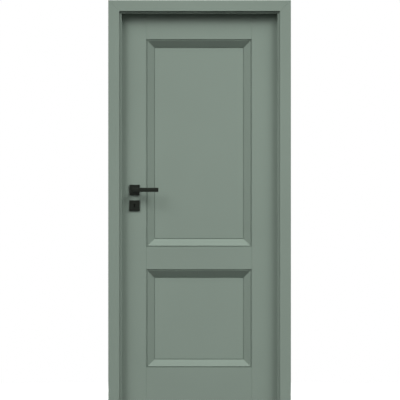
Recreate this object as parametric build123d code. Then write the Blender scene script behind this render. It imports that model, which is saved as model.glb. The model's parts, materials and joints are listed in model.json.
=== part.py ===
from build123d import *
import os

# Frame: outer size, wall and front casing
frame_width = 955.0
frame_height = 2100.0
wall_thickness = 70.0
casing_face = 58.0
casing_thickness = 12.0
casing_round = 2.0
tongue_thickness = 8.0
tongue_length = 33.0
tongue_play = 0.3
mitre_v = 0.8

# Jamb: front edge strip, tongue groove, stop and rebate
jamb_strip = 11.5
jamb_setback = 14.0
jamb_back_layer = 6.2
jamb_round = 1.2
groove_depth = 36.0
rebate_width = 12.5

# Seal in the stop
seal_room = 3.0
seal_gap = 0.4
seal_slot_width = 3.0
seal_slot_depth = 6.0
seal_slot_inset = 6.0
seal_play = 0.15
seal_margin = 2.0
seal_round = 1.2

# Leaf: thickness, lip, gaps, stiles and rails
leaf_thickness = 48.0
lip_thickness = 17.0
lip_width = 13.0
lip_gap = 1.0
lip_round = 2.0
edge_gap = 3.5
floor_gap = 4.5
lock_stile_width = 138.0
hinge_stile_width = 144.0
top_rail_width = 143.5
lock_rail_width = 118.0
bottom_rail_width = 172.5
lower_opening_height = 514.0
joint_v = 0.9
tenon_length = 60.0
tenon_thickness = 14.0
tenon_play = 0.2
tenon_height_share = 0.55

# Panels in their grooves, each with a raised field on both faces
panel_thickness = 6.0
front_recess = 31.0
panel_play = 0.2
panel_groove_depth = 12.0
panel_slack = 0.8
field_rise = 3.0
field_gap = 2.6

# Panel moulding: quirk, bevel and toe
moulding_width = 42.0
quirk_width = 6.0
quirk_depth = 6.0
bevel_sink = 2.0
toe_height = 2.6

# Hinges: knuckles, pins, studs and anchors
hinge_top_drop = 241.0
hinge_spacing = 1435.0
third_hinge_drop = 350.0
barrel_radius = 8.0
barrel_lip_gap = 1.0
barrel_casing_gap = 2.0
barrel_chamfer = 1.2
knuckle_height = 45.0
knuckle_gap = 0.4
hinge_pin_radius = 4.0
hinge_pin_play = 0.05
hinge_pin_reach = 36.0
stud_radius = 3.5
stud_play = 0.1
stud_spread = 12.0
leaf_stud_reach = 38.0
frame_stud_reach = 40.0
anchor_width = 14.0
anchor_depth = 32.0
anchor_height = 64.0

# Lock: places, case and faceplate
backset = 76.0
handle_height = 1108.0
lock_centres = 82.0
case_thickness = 16.0
case_depth = 104.0
case_sheet = 1.5
case_above = 42.0
case_below = 46.0
case_play = 0.3
faceplate_width = 20.0
faceplate_height = 235.0
faceplate_thickness = 3.0
faceplate_play = 0.2

# Latch bolt with its tail, and the spring behind it
latch_thickness = 12.0
latch_height = 28.0
latch_rise = 8.0
latch_throw = 11.5
latch_nose = 3.0
latch_body_length = 20.0
latch_play = 0.3
tail_height = 6.0
tail_thickness = 5.0
tail_offset = 0.8
tail_clearance = 2.5
lug_length = 6.0
lug_gap = 0.8
lug_side_play = 0.7
lug_drop = 1.8
spring_thickness = 0.8
spring_width = 8.0
spring_play = 0.3
spring_head_room = 2.0
spring_bend = 3.0

# Follower with its arm
hub_radius = 11.0
hub_side_play = 0.3
boss_radius = 8.5
boss_play = 0.05
arm_width = 7.0
arm_reach = 19.0
arm_side_play = 0.5

# Dead bolt with its tail and guide
bolt_thickness = 10.0
bolt_height = 26.0
bolt_rise = 28.0
bolt_inset = 0.2
bolt_play = 0.3
bolt_head_length = 26.0
bolt_tail_length = 64.0
bolt_tail_thickness = 5.0
bolt_tail_drop = 5.0
bolt_travel = 14.0
talon_width = 12.0
talon_height = 8.0
guide_post_radius = 3.0
guide_post_place = 40.0
guide_play = 0.2

# Keyhole
keyhole_radius = 4.75
key_slot_width = 5.0
keyhole_height = 18.0
key_bore_radius = 10.0

# Rosettes, base plates and the bolts through the leaf
rosette_size = 54.0
rosette_thickness = 9.0
rosette_wall = 1.6
rosette_corner = 1.5
rosette_edge = 0.8
rosette_neck_play = 0.4
base_thickness = 6.0
base_play = 0.3
rosette_bolt_spread = 19.0
rosette_bolt_radius = 2.0
rosette_bolt_play = 0.3
bolt_head_radius = 3.5
bolt_head_height = 2.2

# Levers, spindle and grub screws
lever_reach = 125.5
lever_height = 22.0
lever_thickness = 10.0
lever_projection = 58.0
lever_heel = 11.0
lever_edge = 1.5
neck_radius = 9.0
neck_play = 0.05
neck_leaf_gap = 0.5
spindle_size = 8.0
spindle_play = 0.05
spindle_reach = 26.0
spindle_bore_play = 1.0
spindle_bore_radius = 11.0
grub_radius = 2.5
grub_play = 0.05
grub_place = 9.0

# Strike plate with its pockets
strike_width = 20.0
strike_thickness = 2.0
strike_play = 0.2
strike_margin = 24.0
strike_hole_play = 1.5
strike_corner = 4.0
strike_pocket_depth = 12.0
strike_screw_inset = 9.0

# Countersunk screws
screw_radius = 1.75
screw_head_radius = 3.75
screw_head_height = 2.0
screw_play = 0.05
faceplate_screw_length = 25.0
strike_screw_length = 11.0

# How far every cut runs past the face that it opens
overrun = 1.0

# Distances out from the middle of the doorway, to either side and up from head_zero
outer_half = frame_width / 2
casing_inner = outer_half - casing_face
stop_half = casing_inner - jamb_strip
rebate_half = stop_half + rebate_width
tongue_outer = casing_inner + tongue_thickness
groove_inner = casing_inner - tongue_play
groove_outer = tongue_outer + tongue_play
jamb_outer = groove_outer + jamb_back_layer
leaf_half = rebate_half - edge_gap
lip_half = leaf_half + lip_width
opening_x = (lock_stile_width - leaf_half, leaf_half - hinge_stile_width)
head_zero = frame_height - outer_half

# Depths, the front being on the minus side
wall_front = -wall_thickness / 2
wall_back = wall_thickness / 2
casing_front = wall_front - casing_thickness
casing_back = wall_back + casing_thickness
jamb_front = casing_front + jamb_setback
lip_front = casing_back + lip_gap
leaf_back = lip_front + lip_thickness
leaf_front = leaf_back - leaf_thickness
leaf_middle = (leaf_front + leaf_back) / 2
stop_face = leaf_front - seal_room
panel_middle = leaf_front + front_recess + panel_thickness / 2
back_recess = leaf_thickness - front_recess - panel_thickness

# Heights on the leaf
leaf_top = head_zero + leaf_half
lip_top = head_zero + lip_half
lower_opening = (floor_gap + bottom_rail_width, floor_gap + bottom_rail_width + lower_opening_height)
upper_opening = (lower_opening[1] + lock_rail_width, leaf_top - top_rail_width)

# Hinge axis and heights
hinge_x = lip_half + barrel_lip_gap + barrel_radius
hinge_y = casing_back + barrel_casing_gap + barrel_radius
hinge_top = leaf_top - hinge_top_drop
hinge_heights = {
    "top": hinge_top,
    "middle": hinge_top - third_hinge_drop,
    "bottom": hinge_top - hinge_spacing,
}

# Lock places
lock_edge = -leaf_half
lock_y = (leaf_front + lip_front) / 2
spindle_x = lock_edge + backset
key_height = handle_height - lock_centres
latch_height_middle = handle_height + latch_rise
bolt_height_middle = key_height + bolt_rise
case_high = handle_height + case_above
case_low = key_height - case_below
case_middle = (case_high + case_low) / 2
case_x = (lock_edge + faceplate_thickness, lock_edge + faceplate_thickness + case_depth)
case_y = (lock_y - case_thickness / 2, lock_y + case_thickness / 2)
inside_y = (case_y[0] + case_sheet, case_y[1] - case_sheet)
rosette_bolt_xs = (spindle_x - rosette_bolt_spread, spindle_x + rosette_bolt_spread)
base_front = leaf_front - base_thickness
rosette_front = leaf_front - rosette_thickness
lever_front_face = leaf_front - lever_projection
lever_back_face = lever_front_face + lever_thickness

leaf_plane = Plane(origin=(0, leaf_middle, 0), z_dir=(0, 1, 0))


def around(middle, half):
    return (middle - half, middle + half)


def block(xs, ys, zs):
    corner = Pos(min(xs), min(ys), min(zs))
    sizes = [max(pair) - min(pair) for pair in (xs, ys, zs)]
    return corner * Box(*sizes, align=(Align.MIN, Align.MIN, Align.MIN))


def rod(radius, span):
    return Cylinder(radius, max(span) - min(span), align=(Align.CENTER, Align.CENTER, Align.MIN))


def rod_x(radius, xs, y, z):
    return Pos(min(xs), y, z) * Rot(0, 90, 0) * rod(radius, xs)


def rod_y(radius, x, ys, z):
    return Pos(x, min(ys), z) * Rot(-90, 0, 0) * rod(radius, ys)


def rod_z(radius, x, y, zs):
    return Pos(x, y, min(zs)) * rod(radius, zs)


def outline(points, rounds=()):
    face = make_face(Polyline(*points, close=True))
    for index, radius in rounds:
        corner = Vector(*points[index])
        nearest = face.vertices().sort_by(lambda v: (Vector(v.X, v.Y, v.Z) - corner).length)[0]
        face = fillet(nearest, radius)
    return face


def to_back(shape):
    return mirror(shape, about=leaf_plane)


def to_lock_side(shape):
    return mirror(shape, about=Plane.YZ)


# The frame's three members share one section and meet at 45 degrees
def side_member(face):
    bar = extrude(face, amount=frame_height, dir=(0, 0, 1))
    mitre = Plane(origin=(0, 0, head_zero), z_dir=(1, 0, -1))
    return split(bar, bisect_by=mitre, keep=Keep.TOP)


def head_member(face):
    start = Plane(origin=(outer_half, 0, head_zero), x_dir=(0, 0, 1), z_dir=(-1, 0, 0))
    bar = extrude(start * face, amount=frame_width, dir=(-1, 0, 0))
    for side in (-1, 1):
        mitre = Plane(origin=(0, 0, head_zero), z_dir=(side, 0, 1))
        bar = split(bar, bisect_by=mitre, keep=Keep.TOP)
    return bar


def mitre_grooves(face_y, inward):
    start = Plane(origin=(0, face_y, head_zero), x_dir=(0, 1, 0), z_dir=(1, 0, 1))
    wide = 2 * mitre_v
    vee = outline([(inward * mitre_v, 0), (-inward * mitre_v, -wide), (-inward * mitre_v, wide)])
    cut = extrude(start * vee, amount=frame_width, dir=(1, 0, 1))
    return cut + to_lock_side(cut)


def casing_section():
    points = [
        (casing_inner, casing_front),
        (outer_half, casing_front),
        (outer_half, wall_front),
        (tongue_outer, wall_front),
        (tongue_outer, wall_front + tongue_length),
        (casing_inner, wall_front + tongue_length),
    ]
    return outline(points, [(0, casing_round), (1, casing_round)])


def jamb_section():
    slot_low = stop_half + seal_slot_inset - seal_slot_width / 2
    slot_high = slot_low + seal_slot_width
    slot_floor = stop_face - seal_slot_depth
    groove_floor = jamb_front + groove_depth
    points = [
        (stop_half, jamb_front),
        (stop_half, stop_face),
        (slot_low, stop_face),
        (slot_low, slot_floor),
        (slot_high, slot_floor),
        (slot_high, stop_face),
        (rebate_half, stop_face),
        (rebate_half, casing_back),
        (outer_half, casing_back),
        (outer_half, wall_back),
        (jamb_outer, wall_back),
        (jamb_outer, jamb_front),
        (groove_outer, jamb_front),
        (groove_outer, groove_floor),
        (groove_inner, groove_floor),
        (groove_inner, jamb_front),
    ]
    return outline(points, [(0, jamb_round), (1, jamb_round), (7, casing_round), (8, casing_round)])


def seal_section():
    middle = stop_half + seal_slot_inset
    tongue = around(middle, seal_slot_width / 2 - seal_play)
    bulb = (stop_half + seal_margin, rebate_half - seal_margin)
    bulb_face = leaf_front - seal_gap
    tongue_end = stop_face - seal_slot_depth + seal_play
    points = [
        (tongue[0], tongue_end),
        (tongue[1], tongue_end),
        (tongue[1], stop_face),
        (bulb[1], stop_face),
        (bulb[1], bulb_face),
        (bulb[0], bulb_face),
        (bulb[0], stop_face),
        (tongue[0], stop_face),
    ]
    return outline(points, [(4, seal_round), (5, seal_round)])


def frame_seal():
    side = side_member(seal_section())
    return side + to_lock_side(side) + head_member(seal_section())


# Strike plate: one hole for the latch bolt, one for the dead bolt, both over pockets in the jamb
strike_low = bolt_height_middle - bolt_height / 2 - strike_margin
strike_high = latch_height_middle + latch_height / 2 + strike_margin
strike_z = (strike_low, strike_high)
strike_x = (-rebate_half - strike_thickness, -rebate_half)
strike_y = around(lock_y, strike_width / 2)
strike_screw_zs = (strike_z[0] + strike_screw_inset, strike_z[1] - strike_screw_inset)


def strike_holes(deep):
    xs = (-rebate_half - deep, -rebate_half + overrun)
    latch = block(
        xs,
        around(lock_y, latch_thickness / 2 + strike_hole_play),
        around(latch_height_middle, latch_height / 2 + strike_hole_play),
    )
    bolt = block(
        xs,
        around(lock_y, bolt_thickness / 2 + strike_hole_play),
        around(bolt_height_middle, bolt_height / 2 + strike_hole_play),
    )
    return latch + bolt


def plate_with_round_corners(xs, ys, zs, radius):
    plate = block(xs, ys, zs)
    return fillet(plate.edges().filter_by(Axis.X), radius)


def countersunk(length, play):
    shaft = Cylinder(screw_radius + play, length, align=(Align.CENTER, Align.CENTER, Align.MIN))
    head = Cone(
        screw_head_radius + play,
        screw_radius + play,
        screw_head_height,
        align=(Align.CENTER, Align.CENTER, Align.MIN),
    )
    return shaft + head


def strike_screws(play):
    place = Rot(0, -90, 0) * countersunk(strike_screw_length, play)
    return [Pos(-rebate_half, lock_y, z) * place for z in strike_screw_zs]


def strike_plate():
    plate = plate_with_round_corners(strike_x, strike_y, strike_z, strike_corner)
    plate -= strike_holes(strike_thickness + overrun)
    return plate - strike_screws(screw_play)


# Hinge: the lower knuckle is on the frame and carries the pin, the upper one is on the leaf
def knuckle_span(height, upper):
    if upper:
        return (height + knuckle_gap / 2, height + knuckle_gap / 2 + knuckle_height)
    return (height - knuckle_gap / 2 - knuckle_height, height - knuckle_gap / 2)


def stud_heights(height, upper):
    span = knuckle_span(height, upper)
    return around((span[0] + span[1]) / 2, stud_spread)


def leaf_studs(height, play):
    xs = (lip_half - leaf_stud_reach - play, hinge_x)
    return [rod_x(stud_radius + play, xs, hinge_y, z) for z in stud_heights(height, True)]


def frame_studs(height, play):
    ys = (casing_back - frame_stud_reach - play, hinge_y)
    return [rod_y(stud_radius + play, hinge_x, ys, z) for z in stud_heights(height, False)]


def pin_hole(height):
    span = around(height, hinge_pin_reach + hinge_pin_play)
    return rod_z(hinge_pin_radius + hinge_pin_play, hinge_x, hinge_y, span)


def barrel(height, upper):
    body = rod_z(barrel_radius, hinge_x, hinge_y, knuckle_span(height, upper))
    rims = body.edges().filter_by(GeomType.CIRCLE).sort_by(Axis.Z)
    return chamfer(rims[-1] if upper else rims[0], barrel_chamfer)


def leaf_knuckle(height):
    return barrel(height, True) + leaf_studs(height, 0) - pin_hole(height)


def frame_knuckle(height):
    return barrel(height, False) + frame_studs(height, 0) - pin_hole(height)


def hinge_pin(height):
    return rod_z(hinge_pin_radius, hinge_x, hinge_y, around(height, hinge_pin_reach))


def hinge_anchor(height):
    span = knuckle_span(height, False)
    zs = around((span[0] + span[1]) / 2, anchor_height / 2)
    body = block((jamb_outer, jamb_outer + anchor_width), (wall_back - anchor_depth, wall_back), zs)
    return body - frame_studs(height, stud_play)


def casing_side():
    return side_member(casing_section()) - mitre_grooves(casing_front, 1)


def casing_head():
    return head_member(casing_section()) - mitre_grooves(casing_front, 1)


def jamb_side():
    return side_member(jamb_section()) - mitre_grooves(casing_back, -1)


def jamb_head():
    return head_member(jamb_section()) - mitre_grooves(casing_back, -1)


def jamb_hinge_side():
    jamb = jamb_side()
    for height in hinge_heights.values():
        jamb -= frame_studs(height, stud_play)
    return jamb


def jamb_lock_side():
    jamb = to_lock_side(jamb_side())
    seat_y = (strike_y[0] - strike_play, strike_y[1] + strike_play)
    seat_z = (strike_z[0] - strike_play, strike_z[1] + strike_play)
    seat_x = (strike_x[0], strike_x[1] + overrun)
    jamb -= plate_with_round_corners(seat_x, seat_y, seat_z, strike_corner + strike_play)
    jamb -= strike_holes(strike_pocket_depth)
    return jamb - strike_screws(screw_play)


# Leaf: stiles run full height, and the rails' tenons go into mortises in them
groove_y = around(panel_middle, panel_thickness / 2 + panel_play)
rail_spans = {
    "top": (upper_opening[1], leaf_top),
    "lock": (lower_opening[1], upper_opening[0]),
    "bottom": (floor_gap, lower_opening[0]),
}


def rail_tenons(span, play):
    low, high = span
    reach = tenon_length + play
    ys = around(panel_middle, tenon_thickness / 2 + play)
    zs = around((low + high) / 2, tenon_height_share * (high - low) / 2 + play)
    return block((opening_x[0] - reach, opening_x[1] + reach), ys, zs)


def stile_mortises():
    return [rail_tenons(span, tenon_play) for span in rail_spans.values()]


def top_rebate():
    reach = lip_half + overrun
    return block((-reach, reach), (leaf_front - overrun, lip_front), (leaf_top, lip_top + overrun))


def stile(width):
    inner = leaf_half - width
    bottom = inner + panel_groove_depth
    points = [
        (inner, leaf_front + joint_v),
        (inner + joint_v, leaf_front),
        (leaf_half, leaf_front),
        (leaf_half, lip_front),
        (lip_half, lip_front),
        (lip_half, leaf_back),
        (inner + joint_v, leaf_back),
        (inner, leaf_back - joint_v),
        (inner, groove_y[1]),
        (bottom, groove_y[1]),
        (bottom, groove_y[0]),
        (inner, groove_y[0]),
    ]
    face = outline(points, [(2, lip_round / 2), (4, lip_round), (5, lip_round)])
    body = Pos(0, 0, floor_gap) * extrude(face, amount=lip_top - floor_gap, dir=(0, 0, 1))
    return body - top_rebate()


def stile_hinge_side():
    body = stile(hinge_stile_width) - stile_mortises()
    for height in hinge_heights.values():
        body -= leaf_studs(height, stud_play)
    return body


def faceplate_body(play, xs):
    straight = faceplate_height - faceplate_width
    half = faceplate_width / 2 + play
    body = block(xs, around(lock_y, half), around(case_middle, straight / 2))
    for z in around(case_middle, straight / 2):
        body += rod_x(half, xs, lock_y, z)
    return body


def leaf_bores():
    ys = (leaf_front - overrun, leaf_back + overrun)
    cuts = [
        rod_y(spindle_bore_radius, spindle_x, ys, handle_height),
        rod_y(key_bore_radius, spindle_x, ys, key_height),
    ]
    for x in rosette_bolt_xs:
        for z in (handle_height, key_height):
            cuts.append(rod_y(rosette_bolt_radius + rosette_bolt_play, x, ys, z))
    return cuts


def stile_lock_side():
    body = to_lock_side(stile(lock_stile_width)) - stile_mortises()
    mortise_x = (lock_edge - overrun, case_x[1] + case_play)
    mortise_y = (case_y[0] - case_play, case_y[1] + case_play)
    mortise_z = (case_low - case_play, case_high + case_play)
    body -= block(mortise_x, mortise_y, mortise_z)
    body -= faceplate_body(faceplate_play, (lock_edge - overrun, lock_edge + faceplate_thickness))
    body -= leaf_bores()
    return body - faceplate_screws(screw_play)


def rail(span, top_edge, bottom_edge):
    low, high = span
    full_high = high if top_edge else lip_top
    body = block(opening_x, (leaf_front, leaf_back), (low, full_high))
    long_edges = body.edges().filter_by(Axis.X).sort_by(Axis.Z)
    eased = list(body.edges().filter_by(Axis.Z))
    if bottom_edge:
        eased += long_edges[:2]
    if top_edge:
        eased += long_edges[-2:]
    body = chamfer(eased, joint_v)
    haunch = panel_groove_depth - panel_slack
    haunch_x = (opening_x[0] - haunch, opening_x[1] + haunch)
    haunch_y = (groove_y[0] + panel_play, groove_y[1] - panel_play)
    body += block(haunch_x, haunch_y, (low, high))
    groove_x = (haunch_x[0] - overrun, haunch_x[1] + overrun)
    if bottom_edge:
        body -= block(groove_x, groove_y, (low - overrun, low + panel_groove_depth))
    if top_edge:
        body -= block(groove_x, groove_y, (high - panel_groove_depth, high + overrun))
    else:
        body -= top_rebate()
    return body + rail_tenons(span, 0)


# Panel: a sheet that reaches into the grooves, and a field that stands proud of it inside the mouldings
def panel(opening):
    reach = panel_groove_depth - panel_slack
    sheet_x = (opening_x[0] - reach, opening_x[1] + reach)
    sheet_y = around(panel_middle, panel_thickness / 2)
    inset = moulding_width + field_gap
    field_x = (opening_x[0] + inset, opening_x[1] - inset)
    field_y = around(panel_middle, panel_thickness / 2 + field_rise)
    sheet = block(sheet_x, sheet_y, (opening[0] - reach, opening[1] + reach))
    return sheet + block(field_x, field_y, (opening[0] + inset, opening[1] - inset))


# Moulding section: across is measured in from the opening's edge, deep from the leaf's face
def moulding_section(recess):
    points = [
        (0, quirk_depth),
        (quirk_width, quirk_depth),
        (quirk_width, bevel_sink),
        (moulding_width, recess - toe_height),
        (moulding_width, recess),
        (0, recess),
    ]
    return outline(points)


def mitred_length(recess, length):
    bar = extrude(moulding_section(recess), amount=length, dir=(0, 0, 1))
    bar = split(bar, bisect_by=Plane(origin=(0, 0, 0), z_dir=(-1, 0, 1)), keep=Keep.TOP)
    return split(bar, bisect_by=Plane(origin=(0, 0, length), z_dir=(-1, 0, -1)), keep=Keep.TOP)


def mouldings(opening, recess):
    low, high = opening
    upright = mitred_length(recess, high - low)
    level = mitred_length(recess, opening_x[1] - opening_x[0])
    right = Plane(origin=(opening_x[1], leaf_front, high), x_dir=(-1, 0, 0), z_dir=(0, 0, -1))
    over = Plane(origin=(opening_x[0], leaf_front, high), x_dir=(0, 0, -1), z_dir=(1, 0, 0))
    under = Plane(origin=(opening_x[1], leaf_front, low), x_dir=(0, 0, 1), z_dir=(-1, 0, 0))
    return {
        "left": Pos(opening_x[0], leaf_front, low) * upright,
        "right": right * upright,
        "top": over * level,
        "bottom": under * level,
    }


# Lock case: a tray with a loose cover, both drilled for the follower, the key and the rosette bolts
def keyhole(ys, play):
    circle_z = key_height + keyhole_height / 2 - keyhole_radius
    round_part = rod_y(keyhole_radius + play, spindle_x, ys, circle_z)
    slot_x = around(spindle_x, key_slot_width / 2 + play)
    slot_z = (key_height - keyhole_height / 2 - play, circle_z)
    return round_part + block(slot_x, ys, slot_z)


def case_drillings(ys):
    cuts = [
        rod_y(boss_radius + boss_play, spindle_x, ys, handle_height),
        keyhole(ys, base_play),
    ]
    for x in rosette_bolt_xs:
        for z in (handle_height, key_height):
            cuts.append(rod_y(rosette_bolt_radius + rosette_bolt_play, x, ys, z))
    return cuts


def bolt_windows(xs):
    latch = block(
        xs,
        around(lock_y, latch_thickness / 2 + latch_play),
        around(latch_height_middle, latch_height / 2 + latch_play),
    )
    bolt = block(
        xs,
        around(lock_y, bolt_thickness / 2 + bolt_play),
        around(bolt_height_middle, bolt_height / 2 + bolt_play),
    )
    return latch + bolt


def lock_case():
    inside_x = (case_x[0] + case_sheet, case_x[1] - case_sheet)
    inside_z = (case_low + case_sheet, case_high - case_sheet)
    body = block(case_x, (case_y[0], inside_y[1]), (case_low, case_high))
    body -= block(inside_x, (inside_y[0], inside_y[1] + overrun), inside_z)
    body -= bolt_windows((case_x[0] - overrun, inside_x[0] + overrun))
    body -= case_drillings((case_y[0] - overrun, inside_y[0] + overrun))
    post_x = lock_edge + guide_post_place
    return body + rod_y(guide_post_radius, post_x, inside_y, bolt_height_middle)


def lock_cover():
    body = block(case_x, (inside_y[1], case_y[1]), (case_low, case_high))
    return body - case_drillings((inside_y[1] - overrun, case_y[1] + overrun))


def faceplate_screws(play):
    reach = (faceplate_height + case_high - case_low) / 4
    place = Rot(0, 90, 0) * countersunk(faceplate_screw_length, play)
    return [Pos(lock_edge, lock_y, z) * place for z in around(case_middle, reach)]


def lock_faceplate():
    body = faceplate_body(0, (lock_edge, lock_edge + faceplate_thickness))
    body -= bolt_windows((lock_edge - overrun, lock_edge + faceplate_thickness + overrun))
    return body - faceplate_screws(screw_play)


# Follower: hub with a boss at each end that turns in the case, and an arm that draws the latch tail
def follower():
    hub_y = (inside_y[0] + hub_side_play, inside_y[1] - hub_side_play)
    body = rod_y(hub_radius, spindle_x, hub_y, handle_height)
    body += rod_y(boss_radius, spindle_x, case_y, handle_height)
    arm_y = (inside_y[0] + hub_side_play, lock_y + tail_offset - arm_side_play)
    body += block(around(spindle_x, arm_width / 2), arm_y, (handle_height, handle_height + arm_reach))
    hole = spindle_size / 2 + spindle_play
    through = (case_y[0] - overrun, case_y[1] + overrun)
    return body - block(around(spindle_x, hole), through, around(handle_height, hole))


lug_x = spindle_x + arm_width / 2 + lug_gap
tail_low = handle_height + hub_radius + tail_clearance


def latch_bolt():
    side = latch_thickness / 2
    inner = lock_edge + latch_body_length
    points = [
        (lock_edge, lock_y - side),
        (lock_edge - latch_throw, lock_y + side - latch_nose),
        (lock_edge - latch_throw, lock_y + side),
        (inner, lock_y + side),
        (inner, lock_y - side),
    ]
    head = extrude(outline(points), amount=latch_height, dir=(0, 0, 1))
    head = Pos(0, 0, latch_height_middle - latch_height / 2) * head
    tail_y = (lock_y + tail_offset, lock_y + tail_offset + tail_thickness)
    tail_z = (tail_low, tail_low + tail_height)
    tail = block((inner, lug_x + lug_length), tail_y, tail_z)
    lug_y = (inside_y[0] + lug_side_play, inside_y[1] - lug_side_play)
    lug = block((lug_x, lug_x + lug_length), lug_y, (tail_low - lug_drop, tail_z[1]))
    return head + tail + lug


# Flat spring bent over at the top, one leg on the end wall and the other on the latch tail
def latch_spring():
    wall = case_x[1] - case_sheet - spring_play
    top = case_high - case_sheet - spring_head_room
    foot = lug_x + lug_length + spring_play
    low = tail_low - lug_drop
    knee = (wall + foot) / 2
    t = spring_thickness
    points = [
        (wall, low),
        (wall, top - spring_bend),
        (wall - spring_bend, top),
        (knee, top),
        (knee - spring_bend, top - spring_bend),
        (foot, low),
        (foot + t, low),
        (knee - spring_bend + t, top - spring_bend - t),
        (knee + t, top - t),
        (wall - spring_bend - t, top - t),
        (wall - t, top - spring_bend - t),
        (wall - t, low),
    ]
    start = Plane(origin=(0, lock_y, 0), x_dir=(1, 0, 0), z_dir=(0, -1, 0))
    return extrude(start * outline(points), amount=spring_width / 2, both=True)


def dead_bolt():
    head_x = (lock_edge + bolt_inset, lock_edge + bolt_head_length)
    head_z = around(bolt_height_middle, bolt_height / 2)
    body = block(head_x, around(lock_y, bolt_thickness / 2), head_z)
    tail_x = (head_x[1], head_x[1] + bolt_tail_length)
    tail_y = around(lock_y, bolt_tail_thickness / 2)
    body += block(tail_x, tail_y, (head_z[0], head_z[1] - bolt_tail_drop))
    through = (tail_y[0] - overrun, tail_y[1] + overrun)
    talon_z = (head_z[0] - overrun, head_z[0] + talon_height)
    body -= block(around(spindle_x, talon_width / 2), through, talon_z)
    post_x = lock_edge + guide_post_place
    half = guide_post_radius + guide_play
    slot_x = (post_x, post_x + bolt_travel)
    body -= block(slot_x, through, around(bolt_height_middle, half))
    for x in slot_x:
        body -= rod_y(half, x, through, bolt_height_middle)
    return body


# Rosettes: square shells over base plates that the through bolts clamp to the leaf
def rosette_shell(middle_z):
    half = rosette_size / 2
    face = Plane(origin=(spindle_x, leaf_front, middle_z), x_dir=(1, 0, 0), z_dir=(0, -1, 0))
    square = RectangleRounded(rosette_size, rosette_size, rosette_corner)
    body = extrude(face * square, amount=rosette_thickness, dir=(0, -1, 0))
    rim = body.faces().sort_by(Axis.Y)[0].edges()
    body = chamfer(rim, rosette_edge)
    room = half - rosette_wall
    hollow_y = (rosette_front + rosette_wall, leaf_front + overrun)
    return body - block(around(spindle_x, room), hollow_y, around(middle_z, room))


def lever_rosette():
    ys = (rosette_front - overrun, leaf_front + overrun)
    return rosette_shell(handle_height) - rod_y(neck_radius + rosette_neck_play, spindle_x, ys, handle_height)


def key_rosette():
    return rosette_shell(key_height) - keyhole((rosette_front - overrun, leaf_front + overrun), 0)


def base_plate(middle_z, bore):
    half = rosette_size / 2 - rosette_wall - base_play
    body = block(around(spindle_x, half), (base_front, leaf_front), around(middle_z, half))
    ys = (base_front - overrun, leaf_front + overrun)
    body -= rod_y(bore, spindle_x, ys, middle_z)
    seat = (base_front - overrun, base_front + bolt_head_height + rosette_bolt_play)
    for x in rosette_bolt_xs:
        body -= rod_y(rosette_bolt_radius + rosette_bolt_play, x, ys, middle_z)
        body -= rod_y(bolt_head_radius + rosette_bolt_play, x, seat, middle_z)
    return body


def rosette_bolts():
    bolts = []
    head_y = (base_front + rosette_bolt_play, base_front + rosette_bolt_play + bolt_head_height)
    for x in rosette_bolt_xs:
        for z in (handle_height, key_height):
            half = rod_y(bolt_head_radius, x, head_y, z)
            half += rod_y(rosette_bolt_radius, x, (head_y[0], leaf_middle), z)
            bolts.append(half + to_back(half))
    return bolts


# Lever: round neck in the base plate, flat bar towards the middle of the leaf
grub_y = rosette_front - grub_place


def grub_screw(play):
    zs = (handle_height - neck_radius - play, handle_height - spindle_size / 2 - spindle_play)
    return rod_z(grub_radius + play, spindle_x, grub_y, zs)


def lever():
    length = lever_heel + lever_reach
    start = Plane(origin=(spindle_x - lever_heel, 0, handle_height), x_dir=(0, 1, 0), z_dir=(1, 0, 0))
    middle_y = (lever_front_face + lever_back_face) / 2
    section = Pos(middle_y, 0) * RectangleRounded(lever_thickness, lever_height, lever_edge)
    bar = extrude(start * section, amount=length, dir=(1, 0, 0))
    ends = bar.faces().filter_by(Axis.X).edges()
    bar = chamfer(ends, lever_edge / 2)
    neck = rod_y(neck_radius, spindle_x, (lever_back_face, leaf_front - neck_leaf_gap), handle_height)
    hole = spindle_size / 2 + spindle_play
    hole_y = (rosette_front - spindle_reach - spindle_bore_play, leaf_front)
    socket = block(around(spindle_x, hole), hole_y, around(handle_height, hole))
    return bar + neck - socket - grub_screw(grub_play)


def spindle():
    half = spindle_size / 2
    front = rosette_front - spindle_reach
    ys = (front, leaf_middle + (leaf_middle - front))
    return block(around(spindle_x, half), ys, around(handle_height, half))


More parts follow.
